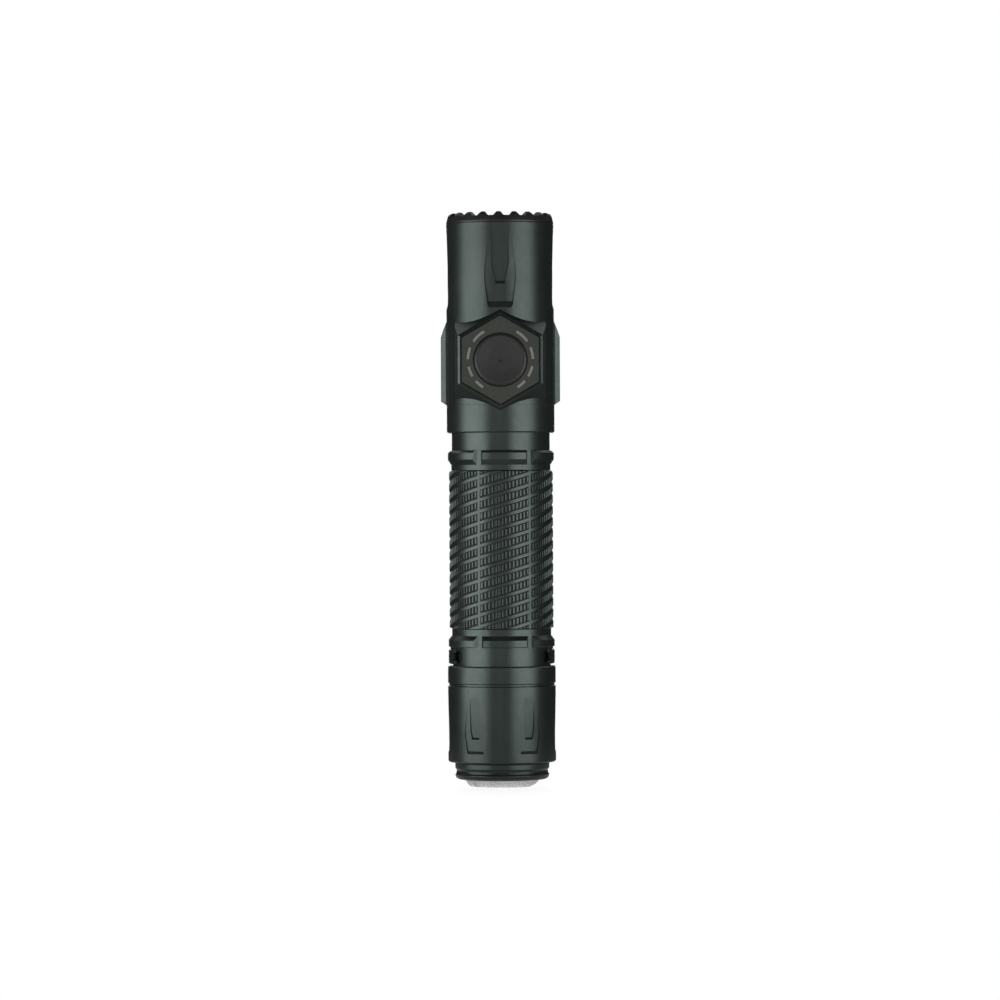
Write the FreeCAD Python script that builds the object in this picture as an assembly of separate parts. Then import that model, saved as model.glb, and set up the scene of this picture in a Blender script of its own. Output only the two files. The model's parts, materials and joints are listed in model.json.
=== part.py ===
import FreeCAD, Part
import math
import os

# A tactical flashlight standing on its tail crown.
# +Z runs along the light from the tail to the bezel, and z = 0 is the plane of the crown's tips.
# The side button faces -Y. An azimuth is counted in degrees from -Y towards +X. Millimetres.

# Overall sizes
TOTAL_LENGTH = 139.0
TAIL_RADIUS = 13.1
HEAD_RADIUS = 13.07
GRIP_RADIUS = 12.37
NECK_RADIUS = 11.92
BAND_RADIUS = 12.06
RING_RADIUS = 12.9

# Battery: one 21700 cell
CELL_RADIUS = 10.75
CELL_BOTTOM_Z = 20.8
CELL_LENGTH = 74.5
TUBE_BORE = 10.95

# Tail cap and its thread
CROWN_TOP_Z = 1.75
CROWN_SIDES = 12
CROWN_APOTHEM = 7.776
CROWN_WIDENING = 1.071
CROWN_NOTCH_AZIMUTHS = (-51.0, -129.0)
THUMB_AZIMUTH = 90.0
SPIGOT_RADIUS = 11.45
CAP_SHOULDER_Z = 5.96
CAP_TOP_Z = 29.3
CAP_FLOOR_Z = 7.6
CAP_BORE = 10.4
TUBE_END_Z = 20.02
THREAD_PITCH = 1.3
MALE_TURNS = 4.0
FEMALE_TURNS = 3.5
THREAD_START_Z = 20.85
THREAD_ROOT = 11.35
THREAD_CREST = 11.88
SEAL_BORE = 12.02
SEAL_Z = 27.6
CAP_RECESSES = 6

# Body tube
FLANGE_Z = (29.8, 33.4)
RELIEF_TOP_Z = 33.9
LOBE_AZIMUTHS = (90, 270)
LOBE_HALF_ANGLE = 26
LANYARD_Z = (30.45, 32.75)
LANYARD_RADII = (11.5, 12.15)
LANYARD_HALF_ANGLE = 33
MOUTH_RADIUS = 1.5
MOUTH_ANGLE = 31
RING_NOTCHES = 6
NOTCH_AZIMUTH = -26.0
NECK_Z = 81.5
HEAD_START_Z = 85.75
TUBE_TOP_Z = 92.6

# Head
CHAMBER_RADIUS = 11.3
SHELF_Z = (110.5, 113.0)
OPTIC_RADIUS = 11.6
BEZEL_BORE = 12.45
BEZEL_SEAT_Z = 136.5
SKIRT_Z = 131.5
BEZEL_TEETH = 20
BEZEL_TOOTH_AZIMUTH = 7.5
HEAD_RECESSES = 4
WIRE_AZIMUTHS = (150, 210)
WIRE_CIRCLE = 8.6

# Side switch
SWITCH_Z = 103.2
BOSS_FACE = 14.0
BOSS_FLATS = 19.44
RIM_FLATS = 20.46
RIM_BEVEL = 0.4
PLATE_FLATS = 18.82
PLATE_GAP = 0.25
BOSS_WALL_ANGLE = 62.0
PAD_FACE = 14.47
PAD_HALF_WIDTH = 1.1
PAD_ROOT = (13.3, 1.7)
PAD_ENDS_Z = (92.5, 112.9)
WALL_FOOT = (10.95, 9.6)
FLAT_FOOT = (10.95, 6.95)
FLAT_LOW_Z = 92.55
FLAT_SHOULDER_Z = 112.9
FLAT_TOP_Z = 114.2
MILL_RADIUS = 2.35
BUTTON_RADIUS = 6.38
BUTTON_HOLE = 6.56
WINDOW_RADII = (7.5, 8.1)
WINDOW_ANGLES = ((34, 60), (1, 22), (-31, -12), (-58, -41))

# Tail switch
TAIL_BUTTON_RADIUS = 6.4
PLUNGER_RADIUS = 2.4
SPRING_RADIUS = 4.1
RETURN_WIRE = 0.32
CONTACT_WIRE = 0.4

# Recesses are cut between these radii from the axis, and parts that touch keep this gap.
RECESS_NEAR = 11.0
RECESS_FAR = 15.0
CLEAR = 0.02

os.makedirs("parts", exist_ok=True)


def vector(x, y, z):
    return FreeCAD.Vector(x, y, z)


def polar(azimuth, radius, z):
    angle = math.radians(azimuth)
    return vector(radius * math.sin(angle), -radius * math.cos(angle), z)


def turned(profile):
    """A solid turned about Z from a closed (radius, z) outline."""
    points = [vector(r, 0, z) for r, z in profile]
    face = Part.Face(Part.makePolygon(points + [points[0]]))
    return face.revolve(vector(0, 0, 0), vector(0, 0, 1), 360)


def tube(outer, inner, low, high):
    return turned([(inner, low), (outer, low), (outer, high), (inner, high)])


def disc(radius, low, high):
    return Part.makeCylinder(radius, high - low, vector(0, 0, low))


def soft_ring(inner, outer, low, high):
    """A ring of round-cornered section, such as an O-ring pressed in its groove."""
    ring = tube(outer, inner, low, high)
    round_off = 0.45 * min(outer - inner, high - low)
    return ring.makeFillet(round_off, [e for e in ring.Edges if e.Closed and len(e.Vertexes) == 1])


def rounded_wire(points, radius, place):
    """A closed wire through 2D points with every corner rounded, placed in space by place(u, v)."""
    count = len(points)
    corners = []
    for i, (u, v) in enumerate(points):
        before, after = points[i - 1], points[(i + 1) % count]
        to_before = FreeCAD.Vector(before[0] - u, before[1] - v, 0)
        to_after = FreeCAD.Vector(after[0] - u, after[1] - v, 0)
        half = to_before.getAngle(to_after) / 2
        reach = radius / math.tan(half)
        to_before.normalize()
        to_after.normalize()
        middle = to_before + to_after
        middle.normalize()
        start = (u + to_before.x * reach, v + to_before.y * reach)
        end = (u + to_after.x * reach, v + to_after.y * reach)
        depth = radius / math.sin(half) - radius
        top = (u + middle.x * depth, v + middle.y * depth)
        corners.append((start, top, end))
    edges = []
    for i, (start, top, end) in enumerate(corners):
        edges.append(Part.Arc(place(*start), place(*top), place(*end)).toShape())
        edges.append(Part.LineSegment(place(*end), place(*corners[(i + 1) % count][0])).toShape())
    return Part.Wire(edges)


def radial_prism(points, radius, azimuth, near, far):
    """An outline of (width, z) points pushed outwards along one azimuth, from near to far."""
    outward = polar(azimuth, 1, 0)
    sideways = polar(azimuth + 90, 1, 0)

    def place(u, z):
        return outward * near + sideways * u + vector(0, 0, z)

    return Part.Face(rounded_wire(points, radius, place)).extrude(outward * (far - near))


def mirrored_outline(half):
    """A closed outline from the (width, z) points of its right half, from the bottom up."""
    return half + [(-u, z) for u, z in reversed(half)]


def hexagon(flats, centre_z):
    """Corners (x, z) of a hexagon that stands on a point."""
    corner = flats / math.sqrt(3)
    return [
        (corner * math.sin(math.radians(60 * k)), centre_z - corner * math.cos(math.radians(60 * k)))
        for k in range(6)
    ]


def front_prism(points, radius, front, back):
    """An outline of (x, z) points pushed along +Y from front to back."""
    wire = rounded_wire(points, radius, lambda x, z: vector(x, front, z))
    return Part.Face(wire).extrude(vector(0, back - front, 0))


def front_cylinder(radius, front, back, x=0, z=SWITCH_Z):
    return Part.makeCylinder(radius, back - front, vector(x, front, z), vector(0, 1, 0))


def box(x, y, z):
    """A box from (low, high) pairs."""
    size = [high - low for low, high in (x, y, z)]
    return Part.makeBox(*size, vector(x[0], y[0], z[0]))


def thread_ridge(root, crest, start_z, turns, half_root, half_crest):
    """One helical ridge of trapezoid section."""
    helix = Part.makeHelix(THREAD_PITCH, THREAD_PITCH * turns, (root + crest) / 2)
    helix.translate(vector(0, 0, start_z))
    outline = [
        vector(root, 0, start_z - half_root),
        vector(crest, 0, start_z - half_crest),
        vector(crest, 0, start_z + half_crest),
        vector(root, 0, start_z + half_root),
    ]
    sweep = Part.BRepOffsetAPI.MakePipeShell(Part.Wire(helix.Edges))
    sweep.setFrenetMode(True)
    sweep.add(Part.makePolygon(outline + [outline[0]]), False, False)
    sweep.build()
    sweep.makeSolid()
    return sweep.shape()


def coil(radius, wire_radius, low, high, turns):
    """A helical spring, its wire centres running from low to high."""
    rise = high - low
    helix = Part.makeHelix(rise / turns, rise, radius)
    helix.translate(vector(0, 0, low))
    start = helix.Edges[0].firstVertex().Point
    heading = helix.Edges[0].tangentAt(helix.Edges[0].FirstParameter)
    section = Part.Wire(Part.makeCircle(wire_radius, start, heading))
    sweep = Part.BRepOffsetAPI.MakePipeShell(Part.Wire(helix.Edges))
    sweep.setFrenetMode(True)
    sweep.add(section, False, False)
    sweep.build()
    sweep.makeSolid()
    return sweep.shape()


def nested_recess(azimuth, outline, corner, skin, inner_outline, inner_corner, inner_skin):
    """A shallow recess with a narrower, deeper one inside it.
    Each skin is the ring of metal that its recess may take."""
    outer = radial_prism(outline, corner, azimuth, RECESS_NEAR, RECESS_FAR)
    inner = radial_prism(inner_outline, inner_corner, azimuth, RECESS_NEAR, RECESS_FAR)
    return [outer.common(skin), inner.common(inner_skin)]


def recess_skin(radius, depth, low, floor_z, high):
    """Metal from a sloped lower end at low, down to depth at floor_z, and out again at high."""
    outside = RECESS_FAR - 0.5
    return turned([(radius, low), (outside, low), (outside, high), (radius, high), (radius - depth, floor_z)])


def cut_all(shape, cutters):
    return shape.cut(cutters).removeSplitter()


# ---- Tail end ----


def tail_cap():
    outer = [
        (8.97, CROWN_TOP_Z),
        (10.6, CROWN_TOP_Z),
        (11.2, 2.1),
        (SPIGOT_RADIUS, 2.8),
        (SPIGOT_RADIUS, 2.95),
        (11.2, 3.3),
        (11.09, 3.85),
        (11.2, 4.2),
        (SPIGOT_RADIUS, 4.5),
        (SPIGOT_RADIUS, 5.6),
        (SPIGOT_RADIUS - 0.15, CAP_SHOULDER_Z),
        (TAIL_RADIUS - 0.3, CAP_SHOULDER_Z),
        (TAIL_RADIUS, CAP_SHOULDER_Z + 0.3),
        (TAIL_RADIUS, 24.4),
        (12.82, 24.6),
        (12.82, 25.0),
        (TAIL_RADIUS, 25.2),
        (TAIL_RADIUS, CAP_TOP_Z - 0.25),
        (TAIL_RADIUS - 0.25, CAP_TOP_Z),
        (SEAL_BORE + 0.2, CAP_TOP_Z),
        (SEAL_BORE, CAP_TOP_Z - 0.3),
        (SEAL_BORE, TUBE_END_Z - CLEAR),
        (CAP_BORE, TUBE_END_Z - CLEAR),
        (CAP_BORE, CAP_FLOOR_Z),
        (7.8, CAP_FLOOR_Z),
        (7.8, 5.6),
        (8.97, 5.6),
    ]
    cap = turned(outer)
    skin = recess_skin(TAIL_RADIUS, 0.26, 8.3, 9.0, 20.2)
    inner_skin = recess_skin(TAIL_RADIUS, 0.5, 11.5, 12.3, 22.0)
    outline = mirrored_outline([(2.2, 8.2), (3.05, 12.9), (2.6, 17.0), (2.05, 21.0)])
    inner_outline = mirrored_outline([(0.95, 11.7), (1.4, 13.9), (1.4, 22.5)])
    recesses = []
    step = 360 / CAP_RECESSES
    for k in range(CAP_RECESSES):
        recesses += nested_recess(step * (k + 0.5), outline, 0.45, skin, inner_outline, 0.2, inner_skin)
    cap = cut_all(cap, recesses)
    start_z = THREAD_START_Z + THREAD_PITCH / 2
    return cap.fuse(thread_ridge(SEAL_BORE + 0.2, 11.5, start_z, FEMALE_TURNS, 0.37, 0.17))


def facet_cone(sides, apothem, widening, low, high):
    """A pyramid section with flat sides, one of them facing -Y, and that apothem at z = 0."""
    rings = []
    for z in (low, high):
        corner = (apothem + widening * z) / math.cos(math.pi / sides)
        rings.append([polar(360 / sides * (k + 0.5), corner, z) for k in range(sides)])
    outlines = rings + [
        [rings[0][k - 1], rings[0][k], rings[1][k], rings[1][k - 1]] for k in range(sides)
    ]
    faces = [Part.Face(Part.makePolygon(points + [points[0]])) for points in outlines]
    return Part.makeSolid(Part.makeShell(faces))


def tail_crown():
    """The steel crown screwed into the tail cap: a faceted cone with a thumb cut-out and two notches."""
    ring = turned(
        [
            (6.75, 0.35),
            (7.1, 0.0),
            (8.05, 0.0),
            (9.1, CROWN_TOP_Z - 0.1),
            (9.1, CROWN_TOP_Z - CLEAR),
            (8.93, CROWN_TOP_Z - CLEAR),
            (8.93, 5.5),
            (7.65, 5.5),
            (7.65, 3.2),
            (6.75, 3.2),
        ]
    )
    ring = ring.common(facet_cone(CROWN_SIDES, CROWN_APOTHEM, CROWN_WIDENING, -1.0, 7.0))
    cutters = []
    for azimuth in CROWN_NOTCH_AZIMUTHS:
        notch = mirrored_outline([(0.75, -0.3), (0.16, 1.35)])
        cutters.append(radial_prism(notch, 0.12, azimuth, 5.0, 11.0))
    thumb = mirrored_outline([(5.3, -0.3), (0.5, 1.42)])
    cutters.append(radial_prism(thumb, 0.3, THUMB_AZIMUTH, 5.0, 11.0))
    return cut_all(ring, cutters)


def tail_button():
    """The push button in the middle of the crown, with a flange that the crown's lip keeps in."""
    button = turned(
        [
            (0, 0.75),
            (3.2, 0.62),
            (5.2, 0.7),
            (6.1, 1.0),
            (TAIL_BUTTON_RADIUS, 1.4),
            (TAIL_BUTTON_RADIUS, 3.35),
            (7.35, 3.35),
            (7.35, 4.2),
            (0, 4.2),
        ]
    )
    grooves = [tube(r + 0.22, r - 0.22, 0.3, 0.95) for r in (2.0, 3.6)]
    return button.cut(grooves)


def tail_button_seal():
    """The silicone ring between the button's flange and the inside of the tail cap."""
    return soft_ring(6.55, 7.6, 6.05, 7.5)


def tail_plunger():
    """The stem that carries the button's push to the switch."""
    stem = PLUNGER_RADIUS
    return turned([(0, 4.22), (stem + 0.6, 4.22), (stem + 0.6, 5.2), (stem, 5.6), (stem, 9.2), (0, 9.2)])


def tail_return_spring():
    return coil(SPRING_RADIUS, RETURN_WIRE, 4.6, 9.6, 5)


def tail_switch():
    """The two-stage switch, open below for the plunger."""
    body = disc(5.4, 10.0, 13.88)
    return body.cut(disc(PLUNGER_RADIUS + 0.15, 9.5, 12.4)).makeChamfer(0.3, body.Edges[:1])


def tail_switch_holder():
    """The moulded ring that keeps the switch and its board in line."""
    ring = tube(CAP_BORE - 0.05, 5.5, CAP_FLOOR_Z + CLEAR, 13.88)
    ring = ring.cut(disc(7.2, CAP_FLOOR_Z - 1, 9.9))
    windows = [box((-1.2, 1.2), (5.0, 12.0), (11.0, 15.0))]
    windows.append(box((-1.2, 1.2), (-12.0, -5.0), (11.0, 15.0)))
    return ring.cut(windows)


def tail_board():
    board = disc(CAP_BORE - 0.1, 13.9, 15.1)
    vias = [Part.makeCylinder(0.35, 3, polar(60 * k + 15, 7.6, 13)) for k in range(6)]
    return board.cut(vias)


def tail_retaining_ring():
    """The brass ring screwed into the cap over the board, with two holes for a pin spanner."""
    ring = tube(CAP_BORE - 0.04, 8.3, 15.12, 19.5)
    ring = ring.cut(tube(8.9, 8.0, 18.9, 20.0))
    holes = [Part.makeCylinder(0.45, 3, polar(90 + 180 * k, 9.55, 17.5)) for k in range(2)]
    return ring.cut(holes)


def tail_contact_spring():
    """The stiff spring that presses on the cell's negative end."""
    low = 15.12 + CONTACT_WIRE
    return coil(SPRING_RADIUS, CONTACT_WIRE, low, CELL_BOTTOM_Z - CONTACT_WIRE - CLEAR, 4.5)


# ---- Body ----


def sector(azimuth, half_angle, low, high):
    """A slice of a wide disc, which keeps or spares part of a ring."""
    slice_ = Part.makeCylinder(20, high - low, vector(0, 0, low), vector(0, 0, 1), 2 * half_angle)
    slice_.rotate(vector(0, 0, 0), vector(0, 0, 1), azimuth - 90 - half_angle)
    return slice_


def lanyard_tunnel(azimuth):
    """The cord's way under one lobe: an arc channel with a rounded mouth at each end."""
    low, high = LANYARD_Z
    ring = tube(LANYARD_RADII[1], LANYARD_RADII[0], low, high)
    cutters = [ring.common(sector(azimuth, LANYARD_HALF_ANGLE, low - 1, high + 1))]
    for side in (-1, 1):
        mouth = azimuth + side * MOUTH_ANGLE
        start = polar(mouth, LANYARD_RADII[0] + 0.05, (low + high) / 2)
        cutters.append(Part.makeCylinder(MOUTH_RADIUS, 3.0, start, polar(mouth, 1, 0)))
    return cutters


def body_tube():
    outer = [
        (TUBE_BORE + 0.15, TUBE_END_Z),
        (THREAD_ROOT - 0.1, TUBE_END_Z),
        (THREAD_ROOT, TUBE_END_Z + 0.1),
        (THREAD_ROOT, 26.6),
        (THREAD_CREST, 26.75),
        (THREAD_CREST, SEAL_Z - 0.75),
        (11.25, SEAL_Z - 0.75),
        (11.25, SEAL_Z + 0.75),
        (THREAD_CREST, SEAL_Z + 0.75),
        (THREAD_CREST, FLANGE_Z[0]),
        (12.7, FLANGE_Z[0]),
        (RING_RADIUS, FLANGE_Z[0] + 0.2),
        (RING_RADIUS, FLANGE_Z[1] - 0.2),
        (12.5, FLANGE_Z[1]),
        (12.5, RELIEF_TOP_Z),
        (RING_RADIUS - 0.15, RELIEF_TOP_Z),
        (RING_RADIUS, 34.05),
        (RING_RADIUS, 35.6),
        (BAND_RADIUS, 36.7),
        (BAND_RADIUS, 38.25),
        (GRIP_RADIUS, 38.5),
        (GRIP_RADIUS, 76.5),
        (BAND_RADIUS, 76.75),
        (BAND_RADIUS, 78.0),
        (RING_RADIUS, 79.3),
        (RING_RADIUS, 80.9),
        (12.55, 81.3),
        (12.3, NECK_Z),
        (NECK_RADIUS, NECK_Z),
        (NECK_RADIUS, 86.6),
        (11.2, 86.6),
        (11.2, 88.1),
        (NECK_RADIUS, 88.1),
        (NECK_RADIUS, TUBE_TOP_Z - 0.3),
        (NECK_RADIUS - 0.3, TUBE_TOP_Z),
        (TUBE_BORE, TUBE_TOP_Z),
        (TUBE_BORE, TUBE_END_Z + 0.15),
    ]
    body = turned(outer)
    # The lanyard flange stands full only on the two lobes, at +X and -X.
    relief = tube(14.5, 12.0, FLANGE_Z[0] - 0.05, RELIEF_TOP_Z)
    for azimuth in LOBE_AZIMUTHS:
        relief = relief.cut(sector(azimuth, LOBE_HALF_ANGLE, FLANGE_Z[0] - 0.3, RELIEF_TOP_Z + 0.6))
    cutters = [relief]
    for azimuth in LOBE_AZIMUTHS:
        cutters += lanyard_tunnel(azimuth)
    # Notches through both rings, in line with the smooth ribs of the grip.
    for k in range(RING_NOTCHES):
        azimuth = NOTCH_AZIMUTH + 360 / RING_NOTCHES * k
        outward, sideways = polar(azimuth, 1, 0), polar(azimuth + 90, 1, 0)
        section = [(-0.55, BAND_RADIUS), (0.55, BAND_RADIUS), (2.4, BAND_RADIUS + 1.85)]
        section.append((-2.4, BAND_RADIUS + 1.85))
        for low, high in ((33.6, 36.75), (77.95, 81.52)):
            points = [sideways * u + outward * r + vector(0, 0, low) for u, r in section]
            face = Part.Face(Part.makePolygon(points + [points[0]]))
            cutters.append(face.extrude(vector(0, 0, high - low)))
    body = cut_all(body, cutters)
    return body.fuse(thread_ridge(THREAD_ROOT - 0.15, THREAD_CREST, THREAD_START_Z, MALE_TURNS, 0.42, 0.2))


def tail_o_ring():
    return soft_ring(11.27, SEAL_BORE - 0.03, SEAL_Z - 0.6, SEAL_Z + 0.6)


def head_o_ring():
    return soft_ring(11.22, 11.98, 86.75, 87.95)


# ---- Battery ----


def battery_cell():
    """The wrapped can of the cell, with a dip around its positive end."""
    top = CELL_BOTTOM_Z + CELL_LENGTH - 1.3
    return turned(
        [
            (0, CELL_BOTTOM_Z + 0.3),
            (9.4, CELL_BOTTOM_Z + 0.3),
            (9.4, CELL_BOTTOM_Z),
            (CELL_RADIUS - 0.4, CELL_BOTTOM_Z),
            (CELL_RADIUS, CELL_BOTTOM_Z + 0.4),
            (CELL_RADIUS, top - 0.6),
            (CELL_RADIUS - 0.6, top),
            (8.6, top),
            (8.6, top - 0.5),
            (0, top - 0.5),
        ]
    )


def battery_negative_cap():
    return disc(9.36, CELL_BOTTOM_Z + 0.02, CELL_BOTTOM_Z + 0.28)


def battery_insulator():
    top = CELL_BOTTOM_Z + CELL_LENGTH - 1.3
    return tube(8.55, 4.4, top - 0.48, top - 0.1)


def battery_positive_cap():
    top = CELL_BOTTOM_Z + CELL_LENGTH
    base = top - 1.78
    return turned([(0, base), (4.3, base), (4.3, base + 0.4), (3.3, base + 0.6), (3.1, top), (0, top)])


# ---- Head ----


def envelope():
    """The turned outside that the side pads are milled from, wider than the pads themselves."""
    low, high = PAD_ENDS_Z
    wide = 16.4
    return turned(
        [
            (0, low),
            (HEAD_RADIUS, low),
            (wide, low + 2.2),
            (wide, 104.0),
            (PAD_FACE, 109.1),
            (13.85, 111.0),
            (HEAD_RADIUS, high),
            (0, high),
        ]
    )


def side_pads():
    """The raised bar down each side: a narrow flat between two bevels."""
    pads = []
    for side in (-1, 1):
        half = [(12.0, PAD_ROOT[1]), PAD_ROOT, (PAD_FACE, PAD_HALF_WIDTH)]
        points = [(x, -y) for x, y in half] + [(x, y) for x, y in reversed(half)]
        corners = [vector(side * x, y, 90) for x, y in points]
        pads.append(Part.Face(Part.makePolygon(corners + [corners[0]])).extrude(vector(0, 0, 25)))
    return pads[0].fuse(pads[1]).common(envelope())


def hex_boss(side):
    """The hexagonal boss around the switch, or its plain twin behind.
    It has a bevelled rim and flares towards the head's cylinder."""
    shoulder = BOSS_FACE - RIM_BEVEL
    reach = 6.0
    flare = 2 * reach / math.tan(math.radians(BOSS_WALL_ANGLE))
    sections = [(BOSS_FACE, BOSS_FLATS), (shoulder, RIM_FLATS), (shoulder - reach, RIM_FLATS + flare)]
    wires = []
    for distance, flats in sections:
        points = [vector(x, side * distance, z) for x, z in hexagon(flats, SWITCH_Z)]
        wires.append(Part.makePolygon(points + [points[0]]))
    return Part.makeLoft(wires[:2], True, True).fuse(Part.makeLoft(wires[1:], True, True))


def side_flats():
    """The flats milled between each pad and the bosses, with the bosses' steep sides and a round top."""
    half = RIM_FLATS / 2
    root_x, root_y = PAD_ROOT
    foot_x, foot_y = FLAT_FOOT
    outline = [(half, 15), (half, BOSS_FACE - RIM_BEVEL), WALL_FOOT, FLAT_FOOT]
    outline += [PAD_ROOT, (18, root_y), (18, 15)]
    # The mill stands square to the flat between its foot and the pad's root.
    across = vector(foot_y - root_y, root_x - foot_x, 0).normalize()
    cutters = []
    for side in (-1, 1):
        for end in (-1, 1):
            corners = [vector(side * x, end * y, FLAT_LOW_Z) for x, y in outline]
            face = Part.Face(Part.makePolygon(corners + [corners[0]]))
            cutters.append(face.extrude(vector(0, 0, FLAT_SHOULDER_Z - FLAT_LOW_Z)))
            top = face.extrude(vector(0, 0, 30))
            outward = vector(side * across.x, end * across.y, 0)
            start = outward * RECESS_NEAR + vector(0, 0, FLAT_TOP_Z - MILL_RADIUS)
            mill = Part.makeCylinder(MILL_RADIUS, 10, start, outward)
            cutters.append(top.common(mill))
    return cutters


def head_housing():
    solid = turned(
        [
            (0, HEAD_START_Z),
            (TAIL_RADIUS - 0.3, HEAD_START_Z),
            (TAIL_RADIUS, HEAD_START_Z + 0.3),
            (TAIL_RADIUS, 92.5),
            (HEAD_RADIUS, 92.55),
            (HEAD_RADIUS, BEZEL_SEAT_Z - 0.12),
            (HEAD_RADIUS - 0.12, BEZEL_SEAT_Z),
            (0, BEZEL_SEAT_Z),
        ]
    )
    solid = cut_all(solid.fuse([hex_boss(-1), hex_boss(1)]), side_flats())
    solid = solid.fuse(side_pads()).removeSplitter()
    inside = turned(
        [
            (0, HEAD_START_Z - 1),
            (12.22, HEAD_START_Z - 1),
            (12.22, HEAD_START_Z),
            (12.0, HEAD_START_Z + 0.25),
            (12.0, TUBE_TOP_Z + 0.1),
            (CHAMBER_RADIUS, TUBE_TOP_Z + 0.1),
            (CHAMBER_RADIUS, SHELF_Z[0]),
            (0, SHELF_Z[0]),
        ]
    )
    optics = turned(
        [
            (0, SHELF_Z[1]),
            (OPTIC_RADIUS, SHELF_Z[1]),
            (OPTIC_RADIUS, SKIRT_Z - 0.1),
            (BEZEL_BORE, SKIRT_Z - 0.1),
            (BEZEL_BORE, BEZEL_SEAT_Z + 1),
            (0, BEZEL_SEAT_Z + 1),
        ]
    )
    wire_holes = [Part.makeCylinder(1.0, 4, polar(az, WIRE_CIRCLE, SHELF_Z[0] - 0.5)) for az in WIRE_AZIMUTHS]
    seat = front_prism(hexagon(PLATE_FLATS + 2 * PLATE_GAP, SWITCH_Z), 0.9, -BOSS_FACE - 1, -12.25)
    button_hole = front_cylinder(7.0, -BOSS_FACE, -11.1)
    switch_hole = front_cylinder(4.5, -BOSS_FACE, -4.0)
    skin = recess_skin(HEAD_RADIUS, 0.42, 115.8, 117.3, 133.4)
    inner_skin = recess_skin(HEAD_RADIUS, 0.74, 121.0, 122.2, 136.2)
    outline = mirrored_outline([(2.95, 115.6), (3.8, 122.6), (3.7, 125.6), (2.45, 135.6)])
    inner_outline = mirrored_outline([(0.95, 121.2), (2.1, 126.0), (2.15, 136.6)])
    recesses = []
    for k in range(HEAD_RECESSES):
        recesses += nested_recess(360 / HEAD_RECESSES * k, outline, 1.1, skin, inner_outline, 0.2, inner_skin)
    return cut_all(solid, [inside, optics, seat, button_hole, switch_hole] + wire_holes + recesses)


def bezel_ring():
    ring = turned(
        [
            (11.7, SKIRT_Z),
            (12.3, SKIRT_Z),
            (12.4, SKIRT_Z + 0.1),
            (12.4, BEZEL_SEAT_Z + 0.05),
            (13.05, BEZEL_SEAT_Z + 0.05),
            (13.03, 136.9),
            (12.88, 137.5),
            (12.66, 138.3),
            (12.4, 138.7),
            (12.05, TOTAL_LENGTH),
            (11.3, TOTAL_LENGTH),
            (10.8, 138.4),
            (10.8, 137.3),
            (11.7, 137.3),
        ]
    )
    step = 360 / BEZEL_TEETH
    gap = mirrored_outline([(0.72, 138.07), (1.46, 139.0), (1.9, 139.6)])
    gaps = [radial_prism(gap, 0.12, BEZEL_TOOTH_AZIMUTH + step * k, 9.5, 14.5) for k in range(BEZEL_TEETH)]
    return cut_all(ring, gaps)


def front_glass():
    glass = disc(OPTIC_RADIUS, 135.2, 137.25)
    return glass.makeChamfer(0.2, [e for e in glass.Edges if e.Closed and len(e.Vertexes) == 1])


def lens_gasket():
    return soft_ring(10.75, 11.62, 134.6, 135.18)


def reflector():
    """A polished cup: its inside is a parabola from the emitter's hole to the rim."""
    focal, base_z, hole = 1.32, 114.9, 3.1
    rim_z = 134.55
    curve = []
    steps = 28
    for k in range(steps + 1):
        r = hole + (10.6 - hole) * k / steps
        curve.append((r, base_z + r * r / (4 * focal) - hole * hole / (4 * focal)))
    stretch = (rim_z - base_z) / (curve[-1][1] - base_z)
    curve = [(r, base_z + (z - base_z) * stretch) for r, z in curve]
    outside = [
        (11.5, rim_z),
        (11.5, rim_z - 2.2),
        (10.9, rim_z - 2.6),
        (10.9, 122.0),
        (8.4, 117.6),
        (8.4, base_z),
    ]
    points = [vector(r, 0, z) for r, z in curve]
    bowl = Part.BSplineCurve()
    bowl.interpolate(points)
    edges = [bowl.toShape()]
    corners = [points[-1]] + [vector(r, 0, z) for r, z in outside] + [points[0]]
    for start, end in zip(corners, corners[1:]):
        edges.append(Part.LineSegment(start, end).toShape())
    return Part.Face(Part.Wire(edges)).revolve(vector(0, 0, 0), vector(0, 0, 1), 360)


def led_board():
    board = disc(10.0, SHELF_Z[1] + CLEAR, 114.1)
    notches = [Part.makeCylinder(1.3, 4, polar(az, WIRE_CIRCLE + 0.3, 112)) for az in WIRE_AZIMUTHS]
    return board.cut(notches)


def led_emitter():
    base = box((-2.5, 2.5), (-2.5, 2.5), (114.12, 114.75))
    die = box((-1.6, 1.6), (-1.6, 1.6), (114.7, 115.0))
    return base.fuse(die).removeSplitter()


def led_centring_ring():
    ring = tube(5.6, 2.2, 114.12, 114.88)
    return ring.cut(box((-2.6, 2.6), (-2.6, 2.6), (114.0, 115.2)))


def driver_board():
    board = disc(11.0, 97.2, 98.4)
    edge_slots = [box((-1.2, 1.2), (10.0, 12.0), (97, 99)), box((-5.5, -3.5), (9.0, 12.0), (97, 99))]
    return board.cut(edge_slots)


def driver_retaining_ring():
    ring = tube(CHAMBER_RADIUS - 0.04, 9.4, 95.5, 97.18)
    notches = [Part.makeCylinder(0.6, 3, polar(90 + 180 * k, 9.5, 95)) for k in range(2)]
    return ring.cut(notches)


def positive_contact():
    """The brass button that meets the cell's positive end."""
    cell_top = CELL_BOTTOM_Z + CELL_LENGTH
    return turned(
        [
            (0, cell_top + CLEAR),
            (2.2, cell_top + CLEAR),
            (2.6, 95.7),
            (2.6, 96.6),
            (3.6, 96.6),
            (3.6, 97.18),
            (0, 97.18),
        ]
    )


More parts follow.
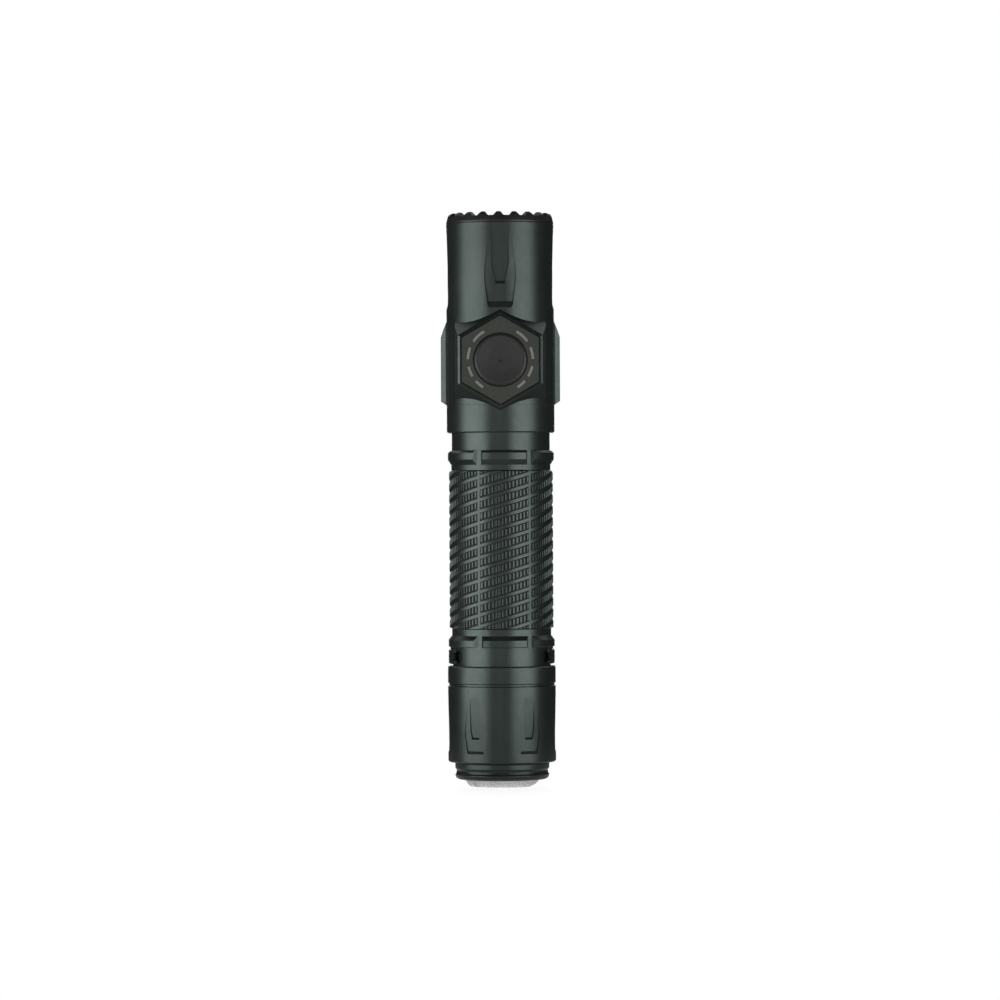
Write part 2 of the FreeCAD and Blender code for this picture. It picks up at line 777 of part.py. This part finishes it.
def driver_components():
    """The coil, controller, transistors and capacitors on the driver board."""
    top = 98.42
    coil_body = box((-3.4, 3.4), (0.4, 7.2), (top, top + 3.0))
    coil_body = coil_body.makeFillet(0.8, [e for e in coil_body.Edges if abs(e.tangentAt(0).z) > 0.9])
    parts = [coil_body]
    parts.append(box((-7.6, -4.6), (-3.6, 1.0), (top, top + 1.1)))
    parts.append(box((4.6, 8.2), (-4.4, -0.6), (top, top + 1.4)))
    parts.append(box((4.8, 7.4), (2.0, 4.8), (top, top + 0.9)))
    for k in range(4):
        parts.append(box((-7.6 + 1.9 * k, -6.4 + 1.9 * k), (-6.6, -4.6), (top, top + 0.8)))
    return Part.makeCompound(parts)


def led_wires():
    """Two insulated wires from the driver, through the shelf, to the emitter's board."""
    wires = []
    for azimuth in WIRE_AZIMUTHS:
        foot = polar(azimuth, WIRE_CIRCLE, 98.44)
        wires.append(Part.makeCylinder(0.75, 114.9 - 98.44, foot))
    return Part.makeCompound(wires)


# ---- Side switch ----


def window_sector(inner, outer, start, end, front, back):
    """A piece of a ring around the button's axis, between two angles counted from +X towards +Z."""
    ring = front_cylinder(outer, front, back).cut(front_cylinder(inner, front - 1, back + 1))
    reach = 20.0
    corners = [vector(0, front - 1, SWITCH_Z)]
    for angle in (start, (start + end) / 2, end):
        turn = math.radians(angle)
        corners.append(vector(reach * math.cos(turn), front - 1, SWITCH_Z + reach * math.sin(turn)))
    wedge = Part.Face(Part.makePolygon(corners + [corners[0]])).extrude(vector(0, back - front + 2, 0))
    return ring.common(wedge)


def window_group(spare, front, back):
    """All eight windows, four to the right of the button and four to its left."""
    inner, outer = WINDOW_RADII[0] - spare, WINDOW_RADII[1] + spare
    widen = math.degrees(spare / outer)
    sectors = []
    for start, end in WINDOW_ANGLES:
        sectors.append(window_sector(inner, outer, start - widen, end + widen, front, back))
        sectors.append(window_sector(inner, outer, 180 - end - widen, 180 - start + widen, front, back))
    return sectors


def indicator_plate():
    face, back = -BOSS_FACE + 0.03, -12.95
    plate = front_prism(hexagon(PLATE_FLATS, SWITCH_Z), 0.35, face, back)
    front_edges = [e for e in plate.Edges if all(abs(v.Y - face) < 1e-6 for v in e.Vertexes)]
    plate = plate.makeChamfer(0.22, front_edges)
    hole = front_cylinder(BUTTON_HOLE, -BOSS_FACE - 1, back + 1)
    return plate.cut([hole] + window_group(CLEAR, -BOSS_FACE - 1, back + 1))


def indicator_windows():
    return Part.makeCompound(window_group(0, -BOSS_FACE + 0.04, -12.95))


def indicator_board():
    board = front_prism(hexagon(PLATE_FLATS - 0.4, SWITCH_Z), 0.4, -12.6, -12.27)
    return board.cut(front_cylinder(7.02, -13, -12))


def indicator_leds():
    """One small emitter behind each window."""
    radius = sum(WINDOW_RADII) / 2
    chips = []
    for start, end in WINDOW_ANGLES:
        for angle in ((start + end) / 2, 180 - (start + end) / 2):
            turn = math.radians(angle)
            x, z = radius * math.cos(turn), SWITCH_Z + radius * math.sin(turn)
            chips.append(box((x - 0.5, x + 0.5), (-12.93, -12.62), (z - 0.35, z + 0.35)))
    return Part.makeCompound(chips)


def side_button():
    """The round button, slightly dished, with a flange that the indicator plate keeps in."""
    front = -BOSS_FACE + 0.02
    profile = [
        (0, front + 0.42),
        (3.0, front + 0.32),
        (4.9, front + 0.08),
        (5.4, front),
        (5.8, front),
        (BUTTON_RADIUS, front + 0.35),
        (BUTTON_RADIUS, -12.9),
        (6.85, -12.9),
        (6.85, -12.4),
        (2.0, -12.4),
        (2.0, -10.95),
        (0, -10.95),
    ]
    points = [vector(r, y, SWITCH_Z) for r, y in profile]
    face = Part.Face(Part.makePolygon(points + [points[0]]))
    return face.revolve(vector(0, 0, SWITCH_Z), vector(0, 1, 0), 360)


def button_boot():
    """The silicone ring that seals the button's stem."""
    boot = front_cylinder(6.95, -11.86, -11.32)
    boot = boot.cut(front_cylinder(2.2, -12, -10))
    return boot.cut(front_cylinder(5.6, -12, -11.6).cut(front_cylinder(3.2, -12.5, -11)))


def side_switch_plunger():
    return front_cylinder(1.5, -10.93, -9.2)


def side_switch():
    body = box((-3.0, 3.0), (-9.9, -8.02), (SWITCH_Z - 3.0, SWITCH_Z + 3.0))
    body = body.makeChamfer(0.3, [e for e in body.Edges if abs(e.tangentAt(0).y) > 0.9])
    return body.cut(front_cylinder(1.6, -11, -8.6))


def switch_board():
    board = box((-6.9, 6.9), (-8.0, -7.0), (99.2, 109.6))
    slots = [box((-8, -6.2), (-9, -6), (103.4, 105.4)), box((6.2, 8), (-9, -6), (103.4, 105.4))]
    return board.cut(slots)


NODES = {
    "tail_cap": tail_cap,
    "tail_crown": tail_crown,
    "tail_button": tail_button,
    "tail_button_seal": tail_button_seal,
    "tail_plunger": tail_plunger,
    "tail_return_spring": tail_return_spring,
    "tail_switch": tail_switch,
    "tail_switch_holder": tail_switch_holder,
    "tail_board": tail_board,
    "tail_retaining_ring": tail_retaining_ring,
    "tail_contact_spring": tail_contact_spring,
    "tail_o_ring": tail_o_ring,
    "body_tube": body_tube,
    "head_o_ring": head_o_ring,
    "battery_cell": battery_cell,
    "battery_negative_cap": battery_negative_cap,
    "battery_insulator": battery_insulator,
    "battery_positive_cap": battery_positive_cap,
    "head_housing": head_housing,
    "bezel_ring": bezel_ring,
    "front_glass": front_glass,
    "lens_gasket": lens_gasket,
    "reflector": reflector,
    "led_board": led_board,
    "led_emitter": led_emitter,
    "led_centring_ring": led_centring_ring,
    "led_wires": led_wires,
    "driver_board": driver_board,
    "driver_components": driver_components,
    "driver_retaining_ring": driver_retaining_ring,
    "positive_contact": positive_contact,
    "indicator_plate": indicator_plate,
    "indicator_windows": indicator_windows,
    "indicator_board": indicator_board,
    "indicator_leds": indicator_leds,
    "side_button": side_button,
    "button_boot": button_boot,
    "side_switch_plunger": side_switch_plunger,
    "side_switch": side_switch,
    "switch_board": switch_board,
}

for name, build in NODES.items():
    shape = build()
    print(name, shape.isValid(), len(shape.Solids), round(shape.Volume, 2), shape.BoundBox)
    shape.exportStep("parts/" + name + ".step")
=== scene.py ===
import json
import math
from typing import NamedTuple

import bpy
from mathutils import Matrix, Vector


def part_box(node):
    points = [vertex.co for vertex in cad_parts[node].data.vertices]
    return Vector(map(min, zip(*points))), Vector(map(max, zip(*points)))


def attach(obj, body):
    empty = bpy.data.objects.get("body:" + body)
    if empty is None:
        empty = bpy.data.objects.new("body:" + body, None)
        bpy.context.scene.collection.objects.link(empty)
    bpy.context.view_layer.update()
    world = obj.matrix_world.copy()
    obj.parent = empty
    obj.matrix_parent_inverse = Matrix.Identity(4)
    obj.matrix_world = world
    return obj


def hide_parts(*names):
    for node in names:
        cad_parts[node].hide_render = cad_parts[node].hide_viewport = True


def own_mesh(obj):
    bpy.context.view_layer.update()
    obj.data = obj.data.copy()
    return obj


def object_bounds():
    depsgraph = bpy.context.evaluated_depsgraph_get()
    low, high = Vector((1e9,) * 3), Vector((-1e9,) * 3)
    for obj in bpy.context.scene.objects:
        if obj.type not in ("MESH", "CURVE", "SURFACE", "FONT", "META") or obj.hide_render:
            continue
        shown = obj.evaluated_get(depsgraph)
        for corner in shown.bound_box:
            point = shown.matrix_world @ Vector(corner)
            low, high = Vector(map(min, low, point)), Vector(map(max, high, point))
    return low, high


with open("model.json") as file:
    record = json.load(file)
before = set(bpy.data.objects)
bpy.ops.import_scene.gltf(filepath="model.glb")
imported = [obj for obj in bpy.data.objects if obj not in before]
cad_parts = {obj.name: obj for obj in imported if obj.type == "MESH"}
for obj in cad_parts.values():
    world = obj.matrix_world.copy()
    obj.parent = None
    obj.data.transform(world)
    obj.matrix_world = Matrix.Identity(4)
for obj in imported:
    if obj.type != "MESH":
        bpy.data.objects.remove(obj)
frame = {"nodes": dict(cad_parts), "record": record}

# The look of a tactical flashlight: its studio, its finishes, the bars of its grip and one spring.
# Metres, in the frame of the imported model: +Z from the tail to the bezel, the side button towards -Y.
# An azimuth is counted in degrees from -Y towards +X. Colours are linear.
MM = 0.001
CAD_BOX = [list(corner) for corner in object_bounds()]
MIDDLE_Z = (CAD_BOX[0][2] + CAD_BOX[1][2]) / 2
WHITE = (1, 1, 1, 1)


def add_object(name, data):
    made = bpy.data.objects.new(name, data)
    bpy.context.scene.collection.objects.link(made)
    return made


def remap(tree, source, span, low, high, curve="LINEAR"):
    """The source with its span stretched over low to high, and held beyond both ends."""
    made = tree.nodes.new("ShaderNodeMapRange")
    made.interpolation_type = curve
    for name, value in (("From Min", span[0]), ("From Max", span[1]), ("To Min", low), ("To Max", high)):
        made.inputs[name].default_value = value
    tree.links.new(source, made.inputs["Value"])
    return made.outputs["Result"]


# ---- Camera ----

CAMERA_DISTANCE = 1.09
CAMERA_X = -0.25 * MM
VIEW_WIDTH = 0.2432              # how much the picture takes in across, at the light's axis
SENSOR_MM = 36.0
LEAN_DEGREES = 0.28
CLIP_START = 0.01
CLIP_END = 20


def make_camera():
    data = bpy.data.cameras.new("camera")
    data.sensor_width = SENSOR_MM
    data.lens = SENSOR_MM * CAMERA_DISTANCE / VIEW_WIDTH
    data.clip_start = CLIP_START
    data.clip_end = CLIP_END
    camera = add_object("camera", data)
    camera.location = (CAMERA_X, -CAMERA_DISTANCE, MIDDLE_Z)
    camera.rotation_euler = (math.radians(90), math.radians(LEAN_DEGREES), 0)
    bpy.context.scene.camera = camera
    bpy.context.scene.view_settings.view_transform = "Standard"


# ---- Light ----


class Softbox(NamedTuple):
    """A white panel that faces the object's middle, in degrees, metres and watts."""

    azimuth: float
    elevation: float
    distance: float
    width: float
    height: float
    power: float


SOFTBOXES = {
    "softbox_left": Softbox(-61, -8, 0.9, 0.98, 0.62, 8.9),
    "softbox_right": Softbox(49, -8, 0.9, 0.84, 0.62, 6.9),
    "softbox_front": Softbox(-4, -3, 1.6, 0.6, 0.8, 1.5),
    "softbox_top": Softbox(0, 84, 1.1, 0.5, 0.5, 0.2),
    "softbox_back": Softbox(180, 4, 1.1, 0.45, 0.7, 3.4),
    "softbox_back_high_left": Softbox(-150, 42, 1.1, 0.9, 0.6, 1.5),
    "softbox_back_high_right": Softbox(150, 42, 1.1, 0.9, 0.6, 1.5),
}

# The dim room's light on the object: its tint, and its strength from below and from above.
ROOM_TINT = (0.95, 1.0, 0.98, 1)
ROOM_BELOW = 0.04
ROOM_ABOVE = 0.02
ROOM_SPAN = (-0.1, 0.45)         # z of the direction, where the one strength turns into the other


def make_softbox(name, box):
    data = bpy.data.lights.new(name, "AREA")
    data.shape = "RECTANGLE"
    data.size = box.width
    data.size_y = box.height
    data.energy = box.power
    lamp = add_object(name, data)
    turn = math.radians(box.azimuth)
    rise = math.radians(box.elevation)
    way = Vector((math.sin(turn) * math.cos(rise), -math.cos(turn) * math.cos(rise), math.sin(rise)))
    lamp.location = Vector((0, 0, MIDDLE_Z)) + way * box.distance
    lamp.rotation_euler = (-way).to_track_quat("-Z", "Y").to_euler()


def make_world():
    """The camera sees pure white, and the object is lit by a dim room."""
    world = bpy.data.worlds.new("studio")
    bpy.context.scene.world = world
    world.use_nodes = True
    tree = world.node_tree
    tree.nodes.clear()
    seen = tree.nodes.new("ShaderNodeBackground")
    seen.inputs["Color"].default_value = WHITE
    lit = tree.nodes.new("ShaderNodeBackground")
    lit.inputs["Color"].default_value = ROOM_TINT
    direction = tree.nodes.new("ShaderNodeTexCoord")
    split = tree.nodes.new("ShaderNodeSeparateXYZ")
    tree.links.new(direction.outputs["Generated"], split.inputs["Vector"])
    strength = remap(tree, split.outputs["Z"], ROOM_SPAN, ROOM_BELOW, ROOM_ABOVE, "SMOOTHSTEP")
    tree.links.new(strength, lit.inputs["Strength"])
    path = tree.nodes.new("ShaderNodeLightPath")
    mix = tree.nodes.new("ShaderNodeMixShader")
    factor, first, second = mix.inputs
    tree.links.new(path.outputs["Is Camera Ray"], factor)
    tree.links.new(lit.outputs["Background"], first)
    tree.links.new(seen.outputs["Background"], second)
    out = tree.nodes.new("ShaderNodeOutputWorld")
    tree.links.new(mix.outputs["Shader"], out.inputs["Surface"])


def make_lights():
    make_world()
    for name, box in SOFTBOXES.items():
        make_softbox(name, box)


# ---- Floor ----

FLOOR_REACH = 0.13
FLOOR_STEP_DEGREES = 4
FADE_SPAN = (0.035, 0.12)        # distances from the axis
FLOOR_SHADE = 0.9                # the paper's grey by the object
FLOOR_GLOW = 0.8                 # the glow that the camera sees by the object, and 1 at the rim
FLOOR_BOUNCE = 0.28              # the glow that lights the object
FLOOR_ROUGHNESS = 0.9
FLOOR_SHINE = 0.1


def floor_paper():
    """Paper that fades outwards from a pale grey to the white of the background."""
    material = bpy.data.materials.new("floor_paper")
    material.use_nodes = True
    tree = material.node_tree
    shader = tree.nodes["Principled BSDF"]
    shader.inputs["Roughness"].default_value = FLOOR_ROUGHNESS
    shader.inputs["Specular IOR Level"].default_value = FLOOR_SHINE
    shader.inputs["Emission Color"].default_value = WHITE
    coordinates = tree.nodes.new("ShaderNodeTexCoord")
    length = tree.nodes.new("ShaderNodeVectorMath")
    length.operation = "LENGTH"
    tree.links.new(coordinates.outputs["Object"], length.inputs["Vector"])
    distance = length.outputs["Value"]
    shade = remap(tree, distance, FADE_SPAN, FLOOR_SHADE, 0, "SMOOTHSTEP")
    bounce = remap(tree, distance, FADE_SPAN, FLOOR_BOUNCE, 0, "SMOOTHSTEP")
    glow = remap(tree, distance, FADE_SPAN, FLOOR_GLOW, 1, "SMOOTHSTEP")
    path = tree.nodes.new("ShaderNodeLightPath")
    choice = tree.nodes.new("ShaderNodeMix")
    tree.links.new(path.outputs["Is Camera Ray"], choice.inputs["Factor"])
    tree.links.new(bounce, choice.inputs["A"])
    tree.links.new(glow, choice.inputs["B"])
    tree.links.new(shade, shader.inputs["Base Color"])
    tree.links.new(choice.outputs["Result"], shader.inputs["Emission Strength"])
    return material


def make_floor():
    """A disc that takes a soft shadow near the object."""
    ring = []
    for degrees in range(0, 360, FLOOR_STEP_DEGREES):
        turn = math.radians(degrees)
        ring.append((FLOOR_REACH * math.cos(turn), FLOOR_REACH * math.sin(turn), 0))
    mesh = bpy.data.meshes.new("floor")
    mesh.from_pydata(ring, [], [list(range(len(ring)))])
    mesh.materials.append(floor_paper())
    add_object("floor", mesh)


# ---- Materials ----

NOISE_SPAN = (0.3, 0.7)          # where nearly all of a noise texture's values lie
MIX_COLOUR_INPUTS = (0, 6, 7)    # a Mix node's sockets share their names, so these go by number
MIX_COLOUR_OUTPUT = 2


class Finish:
    """A material whose colour, roughness and grain come from noise, with sizes in metres."""

    def __init__(self, name):
        self.material = bpy.data.materials.new(name)
        self.material.use_nodes = True
        self.tree = self.material.node_tree
        self.inputs = self.tree.nodes["Principled BSDF"].inputs

    def set(self, name, value):
        self.inputs[name].default_value = value

    def link(self, source, target):
        self.tree.links.new(source, target)

    def noise(self, size, detail):
        """Noise whose features are about size across."""
        texture = self.tree.nodes.new("ShaderNodeTexNoise")
        texture.inputs["Scale"].default_value = 1.0 / size
        texture.inputs["Detail"].default_value = detail
        coordinates = self.tree.nodes.new("ShaderNodeTexCoord")
        self.link(coordinates.outputs["Object"], texture.inputs["Vector"])
        return texture.outputs["Fac"]

    def drift(self, low, high, size, detail):
        """A value that drifts between low and high in patches of about size."""
        return remap(self.tree, self.noise(size, detail), NOISE_SPAN, low, high)

    def colour(self, first, second, size, detail=3):
        mix = self.tree.nodes.new("ShaderNodeMix")
        mix.data_type = "RGBA"
        factor, first_colour, second_colour = (mix.inputs[i] for i in MIX_COLOUR_INPUTS)
        first_colour.default_value = (*first, 1)
        second_colour.default_value = (*second, 1)
        self.link(self.drift(0, 1, size, detail), factor)
        self.link(mix.outputs[MIX_COLOUR_OUTPUT], self.inputs["Base Color"])

    def roughness(self, low, high, size, detail=3):
        self.link(self.drift(low, high, size, detail), self.inputs["Roughness"])

    def grain(self, size, strength, depth, detail=2):
        bump = self.tree.nodes.new("ShaderNodeBump")
        bump.inputs["Strength"].default_value = strength
        bump.inputs["Distance"].default_value = depth
        self.link(self.noise(size, detail), bump.inputs["Height"])
        self.link(bump.outputs["Normal"], self.inputs["Normal"])


def anodised():
    finish = Finish("anodised_body")
    finish.set("Metallic", 0.78)
    finish.colour((0.036, 0.047, 0.042), (0.043, 0.054, 0.049), size=9 * MM)
    finish.roughness(0.33, 0.39, size=1.2 * MM, detail=4)
    finish.grain(size=0.09 * MM, strength=0.10, depth=0.02 * MM)
    return finish.material


def anodised_recess():
    """The rows' floor strips: the body's finish dulled by the cutter, and coloured far darker as painted
    shade between the bars.
    """
    finish = Finish("anodised_recess")
    finish.set("Metallic", 0.3)
    finish.set("Specular IOR Level", 0.3)
    # painted shade: a colour far darker than the body's, with less shine, standing in for the shade
    # between the bars
    finish.colour((0.005, 0.007, 0.006), (0.010, 0.013, 0.012), size=0.8 * MM)
    finish.roughness(0.55, 0.7, size=0.5 * MM)
    finish.grain(size=0.12 * MM, strength=0.2, depth=0.03 * MM)
    return finish.material


def glass():
    finish = Finish("coated_glass")
    finish.set("Base Color", (0.97, 0.98, 1.0, 1))
    finish.set("Roughness", 0.02)
    finish.set("IOR", 1.5)
    finish.set("Transmission Weight", 1.0)
    finish.grain(size=6 * MM, strength=0.02, depth=0.01 * MM, detail=1)
    return finish.material


class Plain(NamedTuple):
    """A look with a little drift in colour and roughness, and a fine grain."""

    colour: tuple
    metallic: float
    roughness: tuple             # its two ends
    grain_mm: float = 0.1
    strength: float = 0.1        # of the grain
    darkening: float = 0.12      # the share of the colour lost in the darkest places


PLAIN = {
    "black_bezel": Plain((0.062, 0.062, 0.061), 0.85, (0.34, 0.42)),
    "bright_steel": Plain((0.78, 0.78, 0.77), 1.0, (0.24, 0.32), 0.15, 0.05, 0.05),
    "spring_steel": Plain((0.7, 0.69, 0.66), 1.0, (0.2, 0.3), 0.2, 0.05),
    "brass": Plain((0.78, 0.58, 0.28), 1.0, (0.25, 0.35), 0.2, 0.08),
    "button_black": Plain((0.018, 0.018, 0.0175), 0.2, (0.46, 0.54), 0.15, 0.06),
    "tail_button_black": Plain((0.022, 0.022, 0.023), 0.0, (0.55, 0.65), 0.2, 0.25),
    "silicone": Plain((0.05, 0.05, 0.055), 0.0, (0.5, 0.6), 0.2),
    "o_ring_rubber": Plain((0.02, 0.02, 0.02), 0.0, (0.3, 0.45), 0.3),
    "indicator_gloss": Plain((0.019, 0.024, 0.016), 0.0, (0.24, 0.32), 0.4, 0.02),
    "indicator_window": Plain((0.16, 0.165, 0.15), 0.0, (0.2, 0.3), 0.3, 0.05),
    "reflector_mirror": Plain((0.95, 0.95, 0.95), 1.0, (0.02, 0.05), 0.5, 0.01, 0.02),
    "emitter_yellow": Plain((0.9, 0.7, 0.12), 0.0, (0.25, 0.35)),
    "white_plastic": Plain((0.8, 0.8, 0.77), 0.0, (0.4, 0.5), 0.2),
    "black_plastic": Plain((0.03, 0.03, 0.034), 0.0, (0.4, 0.5), 0.2),
    "circuit_board": Plain((0.02, 0.14, 0.06), 0.0, (0.25, 0.35), 0.3, 0.1, 0.3),
    "metal_board": Plain((0.8, 0.8, 0.78), 0.2, (0.4, 0.5), 0.2),
    "parts_black": Plain((0.04, 0.04, 0.042), 0.0, (0.4, 0.5), 0.2, 0.15),
    "led_white": Plain((0.8, 0.82, 0.72), 0.0, (0.3, 0.4), 0.2, 0.05),
    "wire_insulation": Plain((0.45, 0.03, 0.02), 0.0, (0.4, 0.5), 0.2),
    "cell_wrap": Plain((0.05, 0.08, 0.14), 0.1, (0.25, 0.35), 0.4, 0.05),
    "cell_plate": Plain((0.72, 0.70, 0.64), 1.0, (0.25, 0.35), 0.2, 0.08),
    "insulator_white": Plain((0.85, 0.85, 0.82), 0.0, (0.6, 0.7), 0.15, 0.2),
}


def plain(name, look):
    finish = Finish(name)
    finish.set("Metallic", look.metallic)
    darker = tuple(channel * (1 - look.darkening) for channel in look.colour)
    finish.colour(darker, look.colour, size=2.5 * MM)
    finish.roughness(*look.roughness, size=0.6 * MM)
    finish.grain(size=look.grain_mm * MM, strength=look.strength, depth=0.03 * MM)
    return finish.material


MATERIALS = {name: plain(name, look) for name, look in PLAIN.items()}
MATERIALS["anodised_body"] = anodised()
MATERIALS["anodised_recess"] = anodised_recess()
MATERIALS["coated_glass"] = glass()


def finish_nodes():
    """Every carried-over node gets the material of its slot."""
    for entry in frame["record"]["subparts"]:
        mesh = frame["nodes"][entry["node"]].data
        mesh.materials.clear()
        mesh.materials.append(MATERIALS[entry["material_slot"]])


# ---- Solids of the visual model ----


def around(azimuth, radius, z):
    turn = math.radians(azimuth)
    return (radius * math.sin(turn), -radius * math.cos(turn), z)


def loft(verts, faces, rings):
    """Adds a closed solid through rings of points, which run anticlockwise as seen from the last ring."""
    base, count = len(verts), len(rings[0])
    for ring in rings:
        verts += ring
    last = len(verts) - count
    for low in range(base, last, count):
        high = low + count
        for i in range(count):
            after = (i + 1) % count
            faces.append([low + i, low + after, high + after, high + i])
    faces.append([last + i for i in range(count)])
    faces.append([base + i for i in reversed(range(count))])


def make_piece(name, verts, faces, material, body, slot):
    mesh = bpy.data.meshes.new(name)
    mesh.from_pydata(verts, [], faces)
    mesh.validate()
    mesh.materials.append(MATERIALS[material])
    piece = add_object(name, mesh)
    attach(piece, body)
    return piece


# ---- The grip's cross-cut rows ----

# The rows climb round the tube like an eight-start thread, in panels with a smooth rib between them.
# Each row is a shallow floor strip, coloured dark as painted shade, with bars standing on it, and both
# start inside the tube's wall.
GRIP_LOW = 38.5 * MM
GRIP_HIGH = 76.5 * MM
PANELS = 6
RIB_AZIMUTH = -26.0
ROW_STARTS = 8
ROW_PITCH = 2.77 * MM
ROW_CLIMB = ROW_PITCH * ROW_STARTS / 360         # metres for each degree
BASE_RADIUS = 12.30 * MM

BARS = 14                                        # in one row of a panel
BAR_STEP = 4.07                                  # degrees
BAR_SHARE = 0.62                                 # of the step, and the cut takes the rest
BAR_HEIGHT = 1.63 * MM
BAR_SHOULDER = 12.50 * MM                        # the radius where the bevel begins
BAR_TOP = 12.62 * MM
BAR_BEVEL = 0.15 * MM
SHORTEST_BAR = 0.25 * MM

# The floor strip: a thin sheet of painted shade laid on the tube between the bars.
FLOOR_RADIUS = 12.385 * MM
FLOOR_BELOW_BARS = 0.30 * MM
FLOOR_ABOVE_BARS = 0.09 * MM
STEPS_PER_BAR = 3
THINNEST_FLOOR = 0.02 * MM


def clip(outline, low, high):
    """An (azimuth, z) outline cut off below low and above high."""
    for limit, keep_above in ((low, True), (high, False)):
        kept = []
        for i, (a, z) in enumerate(outline):
            before_a, before_z = outline[i - 1]
            inside = z >= limit if keep_above else z <= limit
            was_inside = before_z >= limit if keep_above else before_z <= limit
            if inside != was_inside:
                share = (limit - before_z) / (z - before_z)
                kept.append((before_a + (a - before_a) * share, limit))
            if inside:
                kept.append((a, z))
        outline = kept
    return outline


def shrunk(outline, edge):
    """The outline moved inwards by edge, or by half the way to its middle where that is less."""
    middle_a = sum(a for a, z in outline) / len(outline)
    middle_z = sum(z for a, z in outline) / len(outline)
    per_degree = math.radians(1) * BAR_TOP
    result = []
    for a, z in outline:
        wide = (a - middle_a) * per_degree
        tall = z - middle_z
        wide -= math.copysign(min(edge, abs(wide) / 2), wide)
        tall -= math.copysign(min(edge, abs(tall) / 2), tall)
        result.append((middle_a + wide / per_degree, middle_z + tall))
    return result


def grip_rows():
    """Where each row's bars begin, as an azimuth, and the z that the row would have at azimuth 0."""
    width = 360 / PANELS
    margin = (width - BARS * BAR_STEP) / 2
    highest = math.ceil((GRIP_HIGH - GRIP_LOW) / ROW_PITCH)
    for panel in range(PANELS):
        first = RIB_AZIMUTH + width * panel + margin
        for row in range(-ROW_STARTS, highest + 1):
            yield first, GRIP_LOW + row * ROW_PITCH


def row_bars(first, start, verts, faces):
    """The bars of one row, each with bevelled edges."""
    for b in range(BARS):
        left = first + BAR_STEP * (b + (1 - BAR_SHARE) / 2)
        right = left + BAR_STEP * BAR_SHARE
        outline = [
            (left, start + left * ROW_CLIMB),
            (right, start + right * ROW_CLIMB),
            (right, start + right * ROW_CLIMB + BAR_HEIGHT),
            (left, start + left * ROW_CLIMB + BAR_HEIGHT),
        ]
        outline = clip(outline, GRIP_LOW, GRIP_HIGH)
        if len(outline) < 3 or max(z for a, z in outline) - min(z for a, z in outline) < SHORTEST_BAR:
            continue
        levels = ((BASE_RADIUS, outline), (BAR_SHOULDER, outline), (BAR_TOP, shrunk(outline, BAR_BEVEL)))
        loft(verts, faces, [[around(a, radius, z) for a, z in level] for radius, level in levels])


def row_painted_shade(first, start, verts, faces):
    """The floor strip of one row, coloured dark as painted shade between the bars, as a flat bar bent
    round the tube.
    """
    rings = []
    for step in range(BARS * STEPS_PER_BAR + 1):
        azimuth = first + BAR_STEP * step / STEPS_PER_BAR
        z = start + azimuth * ROW_CLIMB
        low = max(z - FLOOR_BELOW_BARS, GRIP_LOW)
        high = min(z + BAR_HEIGHT + FLOOR_ABOVE_BARS, GRIP_HIGH)
        if high - low > THINNEST_FLOOR:
            section = ((BASE_RADIUS, low), (BASE_RADIUS, high), (FLOOR_RADIUS, high), (FLOOR_RADIUS, low))
            rings.append([around(azimuth, radius, height) for radius, height in section])
    if len(rings) > 1:
        loft(verts, faces, rings)


def make_grip():
    """All bars as one piece, and the floor strips of all rows, painted dark as shade between the bars, as
    another.
    """
    bars, shade_floors = ([], []), ([], [])
    for first, start in grip_rows():
        row_bars(first, start, *bars)
        row_painted_shade(first, start, *shade_floors)
    make_piece("grip_bars", *bars, "anodised_body", "housing", "anodised_body")
    make_piece("grip_row_painted_shade", *shade_floors, "anodised_recess", "housing", "anodised_body")


# ---- The spring under the tail button ----

SPRING_TURNS = 5
SPRING_WIRE_RADIUS = 0.32 * MM
STEPS_PER_TURN = 30
WIRE_SIDES = 10


def make_return_spring():
    """The tail button's spring as a coil of its own."""
    low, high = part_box("tail_return_spring")
    radius = high.x - SPRING_WIRE_RADIUS
    rise = high.z - low.z - 2 * SPRING_WIRE_RADIUS
    steps = SPRING_TURNS * STEPS_PER_TURN
    rings = []
    # The rings go from the top down, which turns the faces outwards.
    for step in reversed(range(steps + 1)):
        turn = 2 * math.pi * step / STEPS_PER_TURN
        middle = rise * step / steps + low.z + SPRING_WIRE_RADIUS
        ring = []
        for side in range(WIRE_SIDES):
            lift = 2 * math.pi * side / WIRE_SIDES
            reach = radius + SPRING_WIRE_RADIUS * math.cos(lift)
            z = middle + SPRING_WIRE_RADIUS * math.sin(lift)
            ring.append((reach * math.cos(turn), reach * math.sin(turn), z))
        rings.append(ring)
    verts, faces = [], []
    loft(verts, faces, rings)
    coil = make_piece("tail_return_coil", verts, faces, "spring_steel", "tail_cap", "spring_steel")
    for polygon in coil.data.polygons:
        polygon.use_smooth = True
    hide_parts("tail_return_spring")
    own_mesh(coil)


make_camera()
make_lights()
make_floor()
finish_nodes()
make_grip()
make_return_spring()
